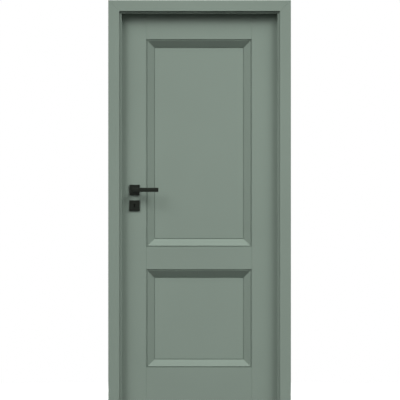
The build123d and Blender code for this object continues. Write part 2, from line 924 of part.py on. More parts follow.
def build():
    parts = {}
    parts["jamb_lock_side"] = jamb_lock_side()
    parts["jamb_hinge_side"] = jamb_hinge_side()
    parts["jamb_head"] = jamb_head()
    parts["casing_lock_side"] = to_lock_side(casing_side())
    parts["casing_hinge_side"] = casing_side()
    parts["casing_head"] = casing_head()
    parts["frame_seal"] = frame_seal()
    parts["strike_plate"] = strike_plate()
    parts["strike_plate_screws"] = strike_screws(0)
    for name, height in hinge_heights.items():
        parts[f"hinge_{name}_frame_knuckle"] = frame_knuckle(height)
        parts[f"hinge_{name}_leaf_knuckle"] = leaf_knuckle(height)
    parts["hinge_pins"] = [hinge_pin(height) for height in hinge_heights.values()]
    parts["hinge_anchors"] = [hinge_anchor(height) for height in hinge_heights.values()]
    parts["stile_lock_side"] = stile_lock_side()
    parts["stile_hinge_side"] = stile_hinge_side()
    parts["top_rail"] = rail(rail_spans["top"], False, True)
    parts["lock_rail"] = rail(rail_spans["lock"], True, True)
    parts["bottom_rail"] = rail(rail_spans["bottom"], True, False)
    for name, opening in (("upper", upper_opening), ("lower", lower_opening)):
        parts[f"{name}_panel"] = panel(opening)
        for side, piece in mouldings(opening, front_recess).items():
            parts[f"{name}_moulding_front_{side}"] = piece
        for side, piece in mouldings(opening, back_recess).items():
            parts[f"{name}_moulding_back_{side}"] = to_back(piece)
    parts["lock_case"] = lock_case()
    parts["lock_cover"] = lock_cover()
    parts["lock_faceplate"] = lock_faceplate()
    parts["faceplate_screws"] = faceplate_screws(0)
    parts["follower"] = follower()
    parts["latch_bolt"] = latch_bolt()
    parts["latch_spring"] = latch_spring()
    parts["dead_bolt"] = dead_bolt()
    parts["lever_rosette_front"] = lever_rosette()
    parts["lever_rosette_back"] = to_back(lever_rosette())
    parts["key_rosette_front"] = key_rosette()
    parts["key_rosette_back"] = to_back(key_rosette())
    lever_base = base_plate(handle_height, neck_radius + neck_play)
    key_base = base_plate(key_height, key_bore_radius)
    parts["lever_bases"] = [lever_base, to_back(lever_base)]
    parts["key_bases"] = [key_base, to_back(key_base)]
    parts["rosette_bolts"] = rosette_bolts()
    parts["lever_front"] = lever()
    parts["lever_back"] = to_back(lever())
    parts["spindle"] = spindle()
    parts["grub_screws"] = [grub_screw(0), to_back(grub_screw(0))]
    return parts


os.makedirs("parts", exist_ok=True)
for node, shape in build().items():
    solids = shape if isinstance(shape, list) else [shape]
    export_step(Compound(children=[s for piece in solids for s in piece.solids()]), f"parts/{node}.step")
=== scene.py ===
import json
import math

import bmesh
import bpy
import numpy as np
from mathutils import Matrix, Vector


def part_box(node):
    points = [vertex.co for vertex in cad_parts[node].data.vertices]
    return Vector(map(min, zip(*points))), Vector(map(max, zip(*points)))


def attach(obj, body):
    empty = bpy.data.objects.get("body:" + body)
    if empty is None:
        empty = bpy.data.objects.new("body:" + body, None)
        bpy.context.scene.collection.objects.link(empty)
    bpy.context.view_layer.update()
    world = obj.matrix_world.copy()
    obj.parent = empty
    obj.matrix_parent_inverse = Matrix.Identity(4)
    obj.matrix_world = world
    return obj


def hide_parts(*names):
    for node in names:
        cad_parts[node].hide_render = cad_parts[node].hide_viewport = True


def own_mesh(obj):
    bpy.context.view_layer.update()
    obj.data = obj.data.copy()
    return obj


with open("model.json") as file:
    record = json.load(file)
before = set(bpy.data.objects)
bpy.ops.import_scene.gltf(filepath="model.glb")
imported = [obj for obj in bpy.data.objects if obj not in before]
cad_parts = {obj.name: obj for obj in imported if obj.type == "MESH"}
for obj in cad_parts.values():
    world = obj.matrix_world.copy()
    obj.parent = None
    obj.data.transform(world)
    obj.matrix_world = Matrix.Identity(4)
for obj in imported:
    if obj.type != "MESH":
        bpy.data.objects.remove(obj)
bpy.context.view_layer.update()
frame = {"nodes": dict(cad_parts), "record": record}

scene = bpy.context.scene
scene.view_settings.view_transform = "Standard"
slotOf = {part["node"]: part["material_slot"] for part in frame["record"]["subparts"]}


def span(node, axis):  # lowest and highest coordinate of a node along x, y or z
    low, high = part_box(node)
    return low["xyz".index(axis)], high["xyz".index(axis)]


# Planes and axes that the frame gives: casing, head, leaf faces, lever and key
casingFront = span("casing_lock_side", "y")[0]
casingOuter = span("casing_hinge_side", "x")[1]
doorTop = span("casing_head", "z")[1]
leafFront, leafBack = span("stile_hinge_side", "y")
spindleX = sum(span("spindle", "x")) / 2
leverZ = sum(span("spindle", "z")) / 2
keyZ = sum(span("key_rosette_front", "z")) / 2


# Node graphs

def addNode(tree, kind, props=None, sockets=None):
    node = tree.nodes.new("ShaderNode" + kind)
    for name, value in (props or {}).items():
        setattr(node, name, value)
    for name, value in (sockets or {}).items():
        socket = node.inputs[name]
        if isinstance(value, bpy.types.NodeSocket):
            tree.links.new(value, socket)
        else:
            socket.default_value = value
    return node


def newFinish(name):
    material = bpy.data.materials.new(name)
    material.use_nodes = True
    tree = material.node_tree
    return material, tree, tree.nodes["Principled BSDF"]


def objectPlace(tree, scale=(1.0, 1.0, 1.0)):
    place = addNode(tree, "TexCoord").outputs["Object"]
    return addNode(tree, "Mapping", sockets={"Vector": place, "Scale": scale}).outputs["Vector"]


noiseRange = {"spread": (0.3, 0.7), "tones": (0.32, 0.68), "detail": 2.0}  # nearly all of a noise's values


def noise(tree, vector, scale, detail=noiseRange["detail"]):
    sockets = {"Vector": vector, "Scale": scale, "Detail": detail}
    return addNode(tree, "TexNoise", sockets=sockets).outputs["Fac"]


def calc(tree, operation, first, second):
    return addNode(tree, "Math", {"operation": operation}, {0: first, 1: second}).outputs[0]


def spread(tree, value, low, high):  # noise around one half becomes low to high
    least, most = noiseRange["spread"]
    sockets = {"Value": value, "From Min": least, "From Max": most, "To Min": low, "To Max": high}
    return addNode(tree, "MapRange", sockets=sockets).outputs["Result"]


def twoTones(tree, value, dark, light):  # dark where the noise is low, light where it is high
    ramp = addNode(tree, "ValToRGB", sockets={"Fac": value})
    for stop, position, tone in zip(ramp.color_ramp.elements, noiseRange["tones"], (dark, light)):
        stop.position = position
        stop.color = (*tone, 1.0)
    return ramp.outputs["Color"]


def shaded(colour, factor):
    return tuple(channel * factor for channel in colour)


def setBump(tree, shader, height, strength, distance):
    sockets = {"Height": height, "Strength": strength, "Distance": distance}
    tree.links.new(addNode(tree, "Bump", sockets=sockets).outputs["Normal"], shader.inputs["Normal"])


# Sage paint: two close tones in wide clouds, roller stipple and a faint lay of brush marks along the piece

paint = {
    "colour": (0.222, 0.276, 0.235),
    "cloudScale": 1.7,
    "cloudDark": 0.975,
    "cloudLight": 1.02,
    "gloss": 0.12,
    "roughLow": 0.44,
    "roughHigh": 0.56,
    "stippleScale": 520.0,
    "layAcross": 260.0,
    "layAlong": 7.0,
    "layDetail": 3.0,
    "layShare": 0.45,
    "bumpStrength": 0.16,
    "bumpDistance": 0.0003,
    "fibreDark": (0.30, 0.215, 0.135),
    "fibreLight": (0.42, 0.315, 0.21),
    "fibreScale": 900.0,
    "fibreDetail": 4.0,
    "fibreRough": 0.85,
}


def wallSideMask(tree, inner, head, wall):
    # one where the point lies between the wall's faces and further out than inner, or higher than head
    place = addNode(tree, "TexCoord").outputs["Object"]
    parts = addNode(tree, "SeparateXYZ", sockets={"Vector": place}).outputs
    outX = calc(tree, "SUBTRACT", calc(tree, "ABSOLUTE", parts["X"], 0.0), inner)
    outZ = calc(tree, "SUBTRACT", parts["Z"], head)
    beyond = calc(tree, "GREATER_THAN", calc(tree, "MAXIMUM", outX, outZ), 0.0)
    within = calc(tree, "LESS_THAN", calc(tree, "ABSOLUTE", parts["Y"], 0.0), wall)
    return calc(tree, "MULTIPLY", beyond, within)


def sagePaint(name, lay, wallSide=None):
    material, tree, shader = newFinish(name)
    plain = objectPlace(tree)
    along = {"x": (0, 1, 1), "z": (1, 1, 0), "none": (1, 1, 1)}[lay]
    stretch = [paint["layAcross"] if across else paint["layAlong"] for across in along]
    cloud = noise(tree, plain, paint["cloudScale"])
    dark = shaded(paint["colour"], paint["cloudDark"])
    light = shaded(paint["colour"], paint["cloudLight"])
    colour = twoTones(tree, cloud, dark, light)
    marks = noise(tree, objectPlace(tree, stretch), 1.0, paint["layDetail"])
    stipple = noise(tree, plain, paint["stippleScale"])
    rough = spread(tree, stipple, paint["roughLow"], paint["roughHigh"])
    if wallSide:
        mask = wallSideMask(tree, *wallSide)
        fibres = noise(tree, plain, paint["fibreScale"], paint["fibreDetail"])
        fibre = twoTones(tree, fibres, paint["fibreDark"], paint["fibreLight"])
        mix = addNode(tree, "Mix", {"data_type": "RGBA"}, {"Factor": mask, 6: colour, 7: fibre})
        colour = mix.outputs[2]
        rough = addNode(tree, "Mix", sockets={"Factor": mask, 2: rough, 3: paint["fibreRough"]}).outputs[0]
    tree.links.new(colour, shader.inputs["Base Color"])
    tree.links.new(rough, shader.inputs["Roughness"])
    shader.inputs["Specular IOR Level"].default_value = paint["gloss"]
    height = calc(tree, "ADD", calc(tree, "MULTIPLY", marks, paint["layShare"]), stipple)
    setBump(tree, shader, height, paint["bumpStrength"], paint["bumpDistance"])
    return material


# Matt black coat on the levers and rosettes: fine grains, slightly uneven sheen

blackCoat = {
    "dark": (0.0070, 0.0092, 0.0064),
    "light": (0.0104, 0.0134, 0.0095),
    "gloss": 0.11,
    "roughLow": 0.42,
    "roughHigh": 0.58,
    "grainScale": 2600.0,
    "patchScale": 45.0,
    "bumpStrength": 0.22,
    "bumpDistance": 0.00008,
}


def blackCoatFinish(name):
    material, tree, shader = newFinish(name)
    plain = objectPlace(tree)
    grain = noise(tree, plain, blackCoat["grainScale"])
    patch = noise(tree, plain, blackCoat["patchScale"])
    colour = twoTones(tree, patch, blackCoat["dark"], blackCoat["light"])
    tree.links.new(colour, shader.inputs["Base Color"])
    rough = spread(tree, patch, blackCoat["roughLow"], blackCoat["roughHigh"])
    tree.links.new(rough, shader.inputs["Roughness"])
    shader.inputs["Specular IOR Level"].default_value = blackCoat["gloss"]
    setBump(tree, shader, grain, blackCoat["bumpStrength"], blackCoat["bumpDistance"])
    return material


# Bare metals: brushed lines along one axis, each metal with its own two tones

metals = {
    "hinge_steel": {
        "name": "hingeSteel",
        "dark": (0.40, 0.395, 0.38),
        "light": (0.50, 0.49, 0.475),
        "rough": (0.24, 0.36),
        "line": "z",
    },
    "satin_steel": {
        "name": "satinSteel",
        "dark": (0.46, 0.46, 0.455),
        "light": (0.58, 0.58, 0.57),
        "rough": (0.27, 0.40),
        "line": "z",
    },
    "zinc_steel": {
        "name": "zincSteel",
        "dark": (0.40, 0.41, 0.42),
        "light": (0.56, 0.55, 0.52),
        "rough": (0.34, 0.50),
        "line": "x",
    },
}
brushed = {
    "across": 2400.0,
    "along": 30.0,
    "detail": 3.0,
    "patchScale": 60.0,
    "bumpStrength": 0.12,
    "bumpDistance": 0.00004,
}


def brushedMetal(metal):
    material, tree, shader = newFinish(metal["name"])
    stretch = [brushed["along"] if axis == metal["line"] else brushed["across"] for axis in "xyz"]
    lines = noise(tree, objectPlace(tree, stretch), 1.0, brushed["detail"])
    patch = noise(tree, objectPlace(tree), brushed["patchScale"])
    tree.links.new(twoTones(tree, patch, metal["dark"], metal["light"]), shader.inputs["Base Color"])
    tree.links.new(spread(tree, lines, *metal["rough"]), shader.inputs["Roughness"])
    shader.inputs["Metallic"].default_value = 1.0
    setBump(tree, shader, lines, brushed["bumpStrength"], brushed["bumpDistance"])
    return material


# Soft seal in the stop, and the near-black felt behind the keyholes, painted shade for the dark inside of
# the lock

rubber = {
    "name": "sealRubber",
    "dark": (0.150, 0.185, 0.158),
    "light": (0.185, 0.225, 0.195),
    "rough": (0.62, 0.78),
    "scale": 700.0,
    "detail": 3.0,
    "gloss": 0.25,
    "bumpStrength": 0.2,
    "bumpDistance": 0.0001,
}
# near-black felt: painted shade seen through the keyholes
shadeFelt = {
    "name": "keyholeShadeFelt",
    "dark": (0.0006, 0.0006, 0.0006),
    "light": (0.0025, 0.0022, 0.0020),
    "rough": (0.9, 1.0),
    "scale": 1800.0,
    "detail": 3.0,
    "gloss": 0.02,
    "bumpStrength": 0.3,
    "bumpDistance": 0.0001,
}


def softFinish(soft):
    material, tree, shader = newFinish(soft["name"])
    grain = noise(tree, objectPlace(tree), soft["scale"], soft["detail"])
    tree.links.new(twoTones(tree, grain, soft["dark"], soft["light"]), shader.inputs["Base Color"])
    tree.links.new(spread(tree, grain, *soft["rough"]), shader.inputs["Roughness"])
    shader.inputs["Specular IOR Level"].default_value = soft["gloss"]
    setBump(tree, shader, grain, soft["bumpStrength"], soft["bumpDistance"])
    return material


# Bare board on the wall sides: it starts just past the back of the front casing,
# and a hair keeps each limit off the face that it follows

bareBoard = {"casingBack": 0.0121, "hair": 0.0002}
hair = bareBoard["hair"]
wallFace = span("casing_head", "y")[0] + bareBoard["casingBack"]
jambOuter = span("hinge_anchors", "x")[0]
headOuter = doorTop - casingOuter + jambOuter
casingInner = span("casing_hinge_side", "x")[0]
jambWallSide = (jambOuter - hair, headOuter - hair, -wallFace + hair)
casingWallSide = (casingInner + hair, doorTop - casingOuter + casingInner + hair, -wallFace + hair)
finishes = {
    "uprightPaint": sagePaint("sagePaintUpright", "z"),
    "levelPaint": sagePaint("sagePaintLevel", "x"),
    "panelPaint": sagePaint("sagePaintPanel", "none"),
    "uprightJambPaint": sagePaint("sagePaintUprightJamb", "z", jambWallSide),
    "levelJambPaint": sagePaint("sagePaintLevelJamb", "x", jambWallSide),
    "uprightCasingPaint": sagePaint("sagePaintUprightCasing", "z", casingWallSide),
    "levelCasingPaint": sagePaint("sagePaintLevelCasing", "x", casingWallSide),
    "black_coat": blackCoatFinish("mattBlackCoat"),
    "seal_rubber": softFinish(rubber),
    "shadeFelt": softFinish(shadeFelt),
}
for slotName, metal in metals.items():
    finishes[slotName] = brushedMetal(metal)


def paintFor(node):
    lay = "level" if node.endswith(("rail", "head", "top", "bottom")) else "upright"
    if node.startswith("jamb"):
        return finishes[lay + "JambPaint"]
    if node.startswith("casing"):
        return finishes[lay + "CasingPaint"]
    return finishes["panelPaint" if node.endswith("panel") else lay + "Paint"]


for node, piece in frame["nodes"].items():
    slotName = slotOf[node]
    piece.material_slots[0].material = paintFor(node) if slotName == "sage_paint" else finishes[slotName]
print("finishes set on", len(frame["nodes"]), "nodes")


# Meshes from whole arrays

plainEdges = {"merge": 1e-7, "sharpAngle": 38.0, "easeAngle": 25.0, "easedEdge": None}


def gridFaces(rows, columns, wrapRows=False, first=0):
    # quads of a grid whose columns close on themselves, and whose rows may too, numbered from first on
    r, c = np.meshgrid(np.arange(rows if wrapRows else rows - 1), np.arange(columns), indexing="ij")
    nextR, nextC = (r + 1) % rows, (c + 1) % columns
    corners = [r * columns + c, r * columns + nextC, nextR * columns + nextC, nextR * columns + c]
    return (first + np.stack(corners, -1).reshape(-1, 4)).tolist()


def endFaces(rows, columns, first=0):  # one flat face over the first row and one over the last
    last = first + (rows - 1) * columns
    return [list(range(first, first + columns)), list(range(last, last + columns))]


def addPiece(name, points, faces, body, finish, stands=(), edges=plainEdges):
    mesh = bpy.data.meshes.new(name)
    mesh.from_pydata(points.reshape(-1, 3).tolist(), [], faces)
    shell = bmesh.new()
    shell.from_mesh(mesh)
    bmesh.ops.remove_doubles(shell, verts=shell.verts, dist=plainEdges["merge"])
    bmesh.ops.recalc_face_normals(shell, faces=shell.faces)
    shell.to_mesh(mesh)
    shell.free()
    mesh.shade_smooth()
    mesh.set_sharp_from_angle(angle=math.radians(edges["sharpAngle"]))
    piece = bpy.data.objects.new(name, mesh)
    scene.collection.objects.link(piece)
    piece.data.materials.append(finish)
    if edges["easedEdge"]:
        ease = piece.modifiers.new("easedEdges", "BEVEL")
        ease.width, ease.segments = edges["easedEdge"]
        ease.limit_method = "ANGLE"
        ease.angle_limit = math.radians(plainEdges["easeAngle"])
        ease.harden_normals = True
    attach(piece, body)
    if stands:
        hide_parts(*stands)
    return piece


# Panel mouldings: one section of quirk, bevel and toe, carried along each side and cut at 45 degrees

moulding = {
    "quirkWidth": 0.006,
    "quirkDepth": 0.006,
    "bevelSink": 0.002,
    "toeHeight": 0.0026,
    "sharpAngle": 30.0,
    "easedEdge": (0.0005, 2),
}


def mouldingSection(width, recess):
    # corner points: flat quirk, step up to the bevel, straight fall to the toe, the toe's edge, the back
    quirk, sunk = moulding["quirkWidth"], moulding["quirkDepth"]
    across = [0, quirk, quirk, width, width, 0]
    deep = [sunk, sunk, moulding["bevelSink"], recess - moulding["toeHeight"], recess, recess]
    return np.array(across), np.array(deep)


def mouldingStrip(node, face, side):
    low, high = (np.array(corner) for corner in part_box(node))
    upright = side in ("left", "right")
    run, inward = np.array([0, 0, 1.0]), np.array([1.0, 0, 0])
    if not upright:
        run, inward = inward, run
    start = np.array([low[0], leafFront, low[2]])
    if side in ("right", "top"):
        start += inward * (high - low)
        inward = -inward
    width = abs((high - low) @ inward)
    length = (high - low) @ run
    into = np.array([0, 1.0, 0])
    recess = high[1] - leafFront
    if face == "back":
        start[1], into, recess = leafBack, -into, leafBack - low[1]
    across, deep = mouldingSection(width, recess)
    # the mitre: each point of the section starts and ends as far in as it lies across
    along = np.stack([across, length - across])
    points = start + along[..., None] * run + across[None, :, None] * inward + deep[None, :, None] * into
    faces = gridFaces(2, len(across)) + endFaces(2, len(across))
    finish = finishes["uprightPaint" if upright else "levelPaint"]
    addPiece(node + "_strip", points, faces, "leaf", finish, [node], moulding)


for opening in ("upper", "lower"):
    for face in ("front", "back"):
        for side in ("left", "right", "top", "bottom"):
            mouldingStrip(f"{opening}_moulding_{face}_{side}", face, side)


# Panels: a sheet with a raised field on either face

panelBoard = {"fieldRise": 0.003, "fieldInset": 0.0558, "sharpAngle": 30.0, "easedEdge": (0.0007, 3)}


def panelPiece(node):
    # rectangles stacked through the thickness, wide for the sheet and narrow by the inset for the fields
    low, high = (np.array(corner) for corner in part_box(node))
    rise, inset = panelBoard["fieldRise"], panelBoard["fieldInset"]
    front, back = low[1], high[1]
    y = np.array([front, front + rise, front + rise, back - rise, back - rise, back])
    inward = inset * np.array([1, 1, 0, 0, 1, 1])
    x = np.stack([low[0] + inward, high[0] - inward, high[0] - inward, low[0] + inward], -1)
    z = np.stack([low[2] + inward, low[2] + inward, high[2] - inward, high[2] - inward], -1)
    points = np.stack([x, np.broadcast_to(y[:, None], x.shape), z], -1)
    faces = gridFaces(*x.shape) + endFaces(*x.shape)
    finish = finishes["panelPaint"]
    addPiece(node + "_board", points, faces, "leaf", finish, [node], panelBoard)


panelPiece("upper_panel")
panelPiece("lower_panel")
print("panels and their mouldings made")


# Levers: a crowned bar with rounded edges and ends, and a round neck that swells into it

lever = {
    "thickness": 0.010,
    "edge": 0.0022,
    "crownShare": 0.24,
    "cornerSteps": 7,
    "cuts": 4,
    "endSteps": 7,
    "neckRadius": 0.009,
    "neckSwell": 0.0016,
    "swellLength": 0.006,
    "swellSteps": 9,
    "neckSink": 0.0012,
    "neckSteps": 64,
}


def roundedRectangle(halfWidth, halfHeight, radius, steps):
    # corner centre plus radius times the cosine and sine of the angle, a quarter turn at each corner
    quarter = np.linspace(0, math.pi / 2, steps)
    angle = (quarter + np.arange(4)[:, None] * math.pi / 2).ravel()
    signX = np.repeat([1, -1, -1, 1], steps)
    signY = np.repeat([1, 1, -1, -1], steps)
    x = signX * (halfWidth - radius) + radius * np.cos(angle)
    y = signY * (halfHeight - radius) + radius * np.sin(angle)
    return x, y


def crownedSection(halfThick, halfHigh):
    # rounded rectangle, each stretch cut in equal parts; the thickness falls off with the height squared
    y, z = roundedRectangle(halfThick, halfHigh, lever["edge"], lever["cornerSteps"])
    steps = np.arange(len(y) * lever["cuts"]) / lever["cuts"]
    y, z = (np.interp(steps, np.arange(len(y) + 1), np.r_[line, line[0]]) for line in (y, z))
    return y * (1 - lever["crownShare"] * (z / halfHigh) ** 2), z


def leverBar(low, high):
    # towards an end, the section shrinks by the edge times one minus the sine of a quarter turn,
    # while its place along the bar goes by the edge times one minus the cosine
    edge = lever["edge"]
    turn = np.linspace(0, math.pi / 2, lever["endSteps"])
    inset = np.r_[edge * (1 - np.sin(turn)), edge * (1 - np.sin(turn[::-1]))]
    stations = np.r_[low[0] + edge * (1 - np.cos(turn)), high[0] - edge * (1 - np.cos(turn[::-1]))]
    half = (high - low) / 2
    middle = (high + low) / 2
    y, z = crownedSection(half[1], half[2])
    shrinkY, shrinkZ = 1 - inset / half[1], 1 - inset / half[2]
    rows = [np.broadcast_to(stations[:, None], (len(stations), len(y)))]
    rows += [middle[1] + shrinkY[:, None] * y, middle[2] + shrinkZ[:, None] * z]
    return np.stack(rows, -1)


def latheY(y, radius, centre, steps):
    # circles of the given radii about an axis along Y
    angle = np.linspace(0, 2 * math.pi, steps, endpoint=False)
    ring = np.stack([np.cos(angle), np.zeros(steps), np.sin(angle)], -1)
    points = radius[:, None, None] * ring
    points[..., 1] = y[:, None]
    return points + np.array([centre[0], 0, centre[1]])


def leverPiece(node, outwards):
    # the bar lies across the outer end of the neck, whose radius swells towards the bar as a parabola
    low, high = (np.array(corner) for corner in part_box(node))
    thickness, neckRadius = lever["thickness"], lever["neckRadius"]
    barLow, barHigh = low.copy(), high.copy()
    if outwards < 0:
        barHigh[1] = low[1] + thickness
        root, foot = barHigh[1], high[1]
    else:
        barLow[1] = high[1] - thickness
        root, foot = barLow[1], low[1]
    bar = leverBar(barLow, barHigh)
    t = np.linspace(0, 1, lever["swellSteps"])
    swell = neckRadius + lever["neckSwell"] * (1 - t) ** 2
    y = np.r_[root + outwards * lever["neckSink"], root - outwards * lever["swellLength"] * t, foot]
    neck = latheY(y, np.r_[swell[0], swell, neckRadius], (spindleX, leverZ), lever["neckSteps"])
    count = bar.shape[0] * bar.shape[1]
    faces = gridFaces(*bar.shape[:2]) + endFaces(*bar.shape[:2])
    faces += gridFaces(*neck.shape[:2], first=count) + endFaces(*neck.shape[:2], first=count)
    points = np.concatenate([bar.reshape(-1, 3), neck.reshape(-1, 3)])
    addPiece(node + "_cast", points, faces, "handle", finishes["black_coat"], [node])


leverPiece("lever_front", -1)
leverPiece("lever_back", 1)


# Rosettes: a square shell whose rim rolls over, pierced by a round hole or a keyhole

rosette = {
    "cornerPower": 40,
    "rim": 0.0009,
    "rimSteps": 5,
    "wall": 0.0016,
    "steps": 256,
    "neckHole": 0.0094,
    "keyRound": 0.00475,
    "keySlot": 0.005,
    "keyHeight": 0.018,
}


def squareOutline(half, angle):
    # superellipse: the radius at an angle is half over the power mean of its cosine and sine
    power = rosette["cornerPower"]
    radius = half / (np.abs(np.cos(angle)) ** power + np.abs(np.sin(angle)) ** power) ** (1 / power)
    return radius * np.cos(angle), radius * np.sin(angle)


def keyholeOutline(angle):
    # the larger of the round and the slot, the slot ending at its sides or at its foot, whichever is nearer
    centre = rosette["keyHeight"] / 2 - rosette["keyRound"]
    tiny = 1e-9
    side = rosette["keySlot"] / 2 / (np.abs(np.cos(angle)) + tiny)
    foot = (rosette["keyHeight"] - rosette["keyRound"]) / (np.abs(np.sin(angle)) + tiny)
    slot = np.where(np.sin(angle) < 0, np.minimum(side, foot), 0)
    radius = np.maximum(rosette["keyRound"], slot)
    return radius * np.cos(angle), centre + radius * np.sin(angle)


def neckHoleOutline(angle):  # a circle
    return rosette["neckHole"] * np.cos(angle), rosette["neckHole"] * np.sin(angle)


def rosettePiece(node, holeOutline, outwards):
    # from the hole out over the face, a quarter turn round the rim, down to the foot,
    # in by the wall and back up inside to the hole
    low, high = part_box(node)
    half = (high[0] - low[0]) / 2
    centreX, centreZ = (high[0] + low[0]) / 2, (high[2] + low[2]) / 2
    depth = high[1] - low[1]
    angle = np.linspace(0, 2 * math.pi, rosette["steps"], endpoint=False)
    hole = holeOutline(angle)
    turn = np.linspace(0, math.pi / 2, rosette["rimSteps"])
    rim, wall = rosette["rim"], rosette["wall"]
    rolled = zip(half - rim * (1 - np.sin(turn)), depth - rim * (1 - np.cos(turn)))
    rows = [(hole, depth)]
    rows += [(squareOutline(side, angle), out) for side, out in rolled]
    rows += [(squareOutline(half, angle), 0), (squareOutline(half - wall, angle), 0)]
    rows += [(squareOutline(half - wall, angle), depth - wall), (hole, depth - wall)]
    foot = high[1] if outwards < 0 else low[1]
    x = centreX + np.array([outline[0] for outline, out in rows])
    z = centreZ + np.array([outline[1] for outline, out in rows])
    y = foot + outwards * np.array([out for outline, out in rows])
    points = np.stack([x, np.broadcast_to(y[:, None], x.shape), z], -1)
    faces = gridFaces(len(rows), len(angle), wrapRows=True)
    addPiece(node + "_plate", points, faces, "leaf", finishes["black_coat"], [node])


for face, outwards in (("front", -1), ("back", 1)):
    rosettePiece(f"lever_rosette_{face}", neckHoleOutline, outwards)
    rosettePiece(f"key_rosette_{face}", keyholeOutline, outwards)
print("levers and rosettes made")


# Near-black felt washers in the key bores, close behind the rosettes: painted shade that stands in for the
# dark inside of the lock;
# and a slit lets the key in

shadeFeltDisc = {
    "radius": 0.0096,
    "thickness": 0.0012,
    "depth": 0.0026,
    "crown": 0.0004,
    "slit": 0.0004,
    "rings": 7,
    "steps": 48,
}


def shadeFeltWasher(name, faceY, inwards):
    # radius out and back with the sine, crown with the cosine;
    # each half keeps one side of the circle, moved off the slit
    t = np.linspace(0, math.pi / 2, shadeFeltDisc["rings"])
    crown = shadeFeltDisc["crown"] * np.cos(t)
    radius = shadeFeltDisc["radius"] * np.r_[np.sin(t), np.sin(t[::-1])]
    y = np.r_[shadeFeltDisc["depth"] - crown, (shadeFeltDisc["depth"] + shadeFeltDisc["thickness"] + crown)[::-1]]
    disc = latheY(faceY + inwards * y, radius, (0, keyZ), shadeFeltDisc["steps"])
    half = np.maximum(disc[..., 0], 0) + shadeFeltDisc["slit"] / 2
    halves = [np.stack([spindleX + side * half, disc[..., 1], disc[..., 2]], -1) for side in (1, -1)]
    faces = gridFaces(*disc.shape[:2]) + gridFaces(*disc.shape[:2], first=half.size)
    addPiece(name, np.stack(halves), faces, "leaf", finishes["shadeFelt"])


shadeFeltWasher("key_bore_shade_felt_front", span("key_rosette_front", "y")[0], 1)
shadeFeltWasher("key_bore_shade_felt_back", span("key_rosette_back", "y")[1], -1)


# Countersunk screws with a cross recess, in the faceplate and in the strike plate

screw = {
    "headRadius": 0.00375,
    "headHeight": 0.002,
    "headRings": 34,
    "shank": 0.00175,
    "armLength": 0.0023,
    "armWidth": 0.00055,
    "recess": 0.0011,
    "soft": 0.00018,
    "around": 96,
}


def softStep(value, limit):  # one well inside the limit, zero well outside it
    return 1 / (1 + np.exp((np.abs(value) - limit) / (screw["soft"] / 4)))


def crossScrew(length):
    # circles out over the head, down the cone and along the shank;
    # the head sinks where either arm of the cross lies
    rings = screw["headRings"]
    radius = np.r_[np.linspace(0, screw["headRadius"], rings), screw["shank"], screw["shank"], 0]
    depth = np.r_[np.zeros(rings), screw["headHeight"], length, length]
    angle = np.linspace(0, 2 * math.pi, screw["around"], endpoint=False)
    u, v = radius[:, None] * np.cos(angle), radius[:, None] * np.sin(angle)
    armU = softStep(v, screw["armWidth"]) * softStep(u, screw["armLength"])
    armV = softStep(u, screw["armWidth"]) * softStep(v, screw["armLength"])
    onHead = (np.arange(len(radius)) < rings)[:, None]
    sunk = depth[:, None] + onHead * screw["recess"] * np.maximum(armU, armV)
    return u, v, sunk


def screwSet(node, face, inwards, body):
    # the two screws of a plate stand one above the other; each is a copy of one screw's array
    low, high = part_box(node)
    length = high[0] - low[0]
    u, v, sunk = crossScrew(length)
    centreY = (low[1] + high[1]) / 2
    heights = (low[2] + screw["headRadius"], high[2] - screw["headRadius"])
    points = np.stack([np.stack([face + inwards * sunk, centreY + u, z + v], -1) for z in heights])
    faces = gridFaces(*u.shape) + gridFaces(*u.shape, first=u.size)
    addPiece(node + "_turned", points, faces, body, finishes["satin_steel"], [node])


screwSet("faceplate_screws", span("faceplate_screws", "x")[0], 1, "leaf")
screwSet("strike_plate_screws", span("strike_plate_screws", "x")[1], -1, "frame")


# Hinge caps: shallow domes on the outer ends of the knuckles

hingeCap = {"radius": 0.0066, "rise": 0.0012, "steps": 48, "rings": 7}


def hingeCapPiece(node, body, up):
    # circles whose radius falls with the cosine while they rise with the sine, over a flat disc
    low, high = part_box(node)
    barrelX, barrelY = sum(span("hinge_pins", "x")) / 2, sum(span("hinge_pins", "y")) / 2
    t = np.linspace(0, math.pi / 2, hingeCap["rings"])
    radius = np.r_[0, hingeCap["radius"] * np.cos(t)]
    rise = np.r_[0, hingeCap["rise"] * np.sin(t)]
    angle = np.linspace(0, 2 * math.pi, hingeCap["steps"], endpoint=False)
    z = (high[2] if up else low[2]) + (1 if up else -1) * rise
    x, y = barrelX + radius[:, None] * np.cos(angle), barrelY + radius[:, None] * np.sin(angle)
    points = np.stack([x, y, np.broadcast_to(z[:, None], x.shape)], -1)
    faces = gridFaces(len(radius), hingeCap["steps"])
    addPiece(node + "_cap", points, faces, body, finishes["hinge_steel"])


for place in ("top", "middle", "bottom"):
    hingeCapPiece(f"hinge_{place}_leaf_knuckle", "leaf", True)
    hingeCapPiece(f"hinge_{place}_frame_knuckle", "frame", False)
print("screws, caps and felt made")


# Latch spring: a flat steel strip bent over at the top

latchSpring = {
    "thickness": 0.0008,
    "bend": 0.003,
    "edge": 0.00015,
    "edgeSteps": 3,
    "legSteps": 14,
    "bendSteps": 24,
    "lean": 0.34,
    "keep": 0.33,
}


def springLine(low, high):
    # straight up the wall, half an ellipse over the top, and down a leg that bows out with the drop squared
    half = latchSpring["thickness"] / 2
    wall, foot = high[0] - half, low[0] + half
    knee = foot + latchSpring["lean"] * (wall - foot)
    shoulder = high[2] - latchSpring["bend"]
    turn = np.linspace(0, math.pi, latchSpring["bendSteps"])
    drop = np.linspace(0, 1, latchSpring["legSteps"])
    overX = (wall + knee) / 2 + (wall - knee) / 2 * np.cos(turn)
    overZ = shoulder + (latchSpring["bend"] - half) * np.sin(turn)
    x = np.r_[wall, overX, knee + (foot - knee) * drop[1:] ** 2]
    return x, np.r_[low[2], overZ, shoulder + (low[2] - shoulder) * drop[1:]]


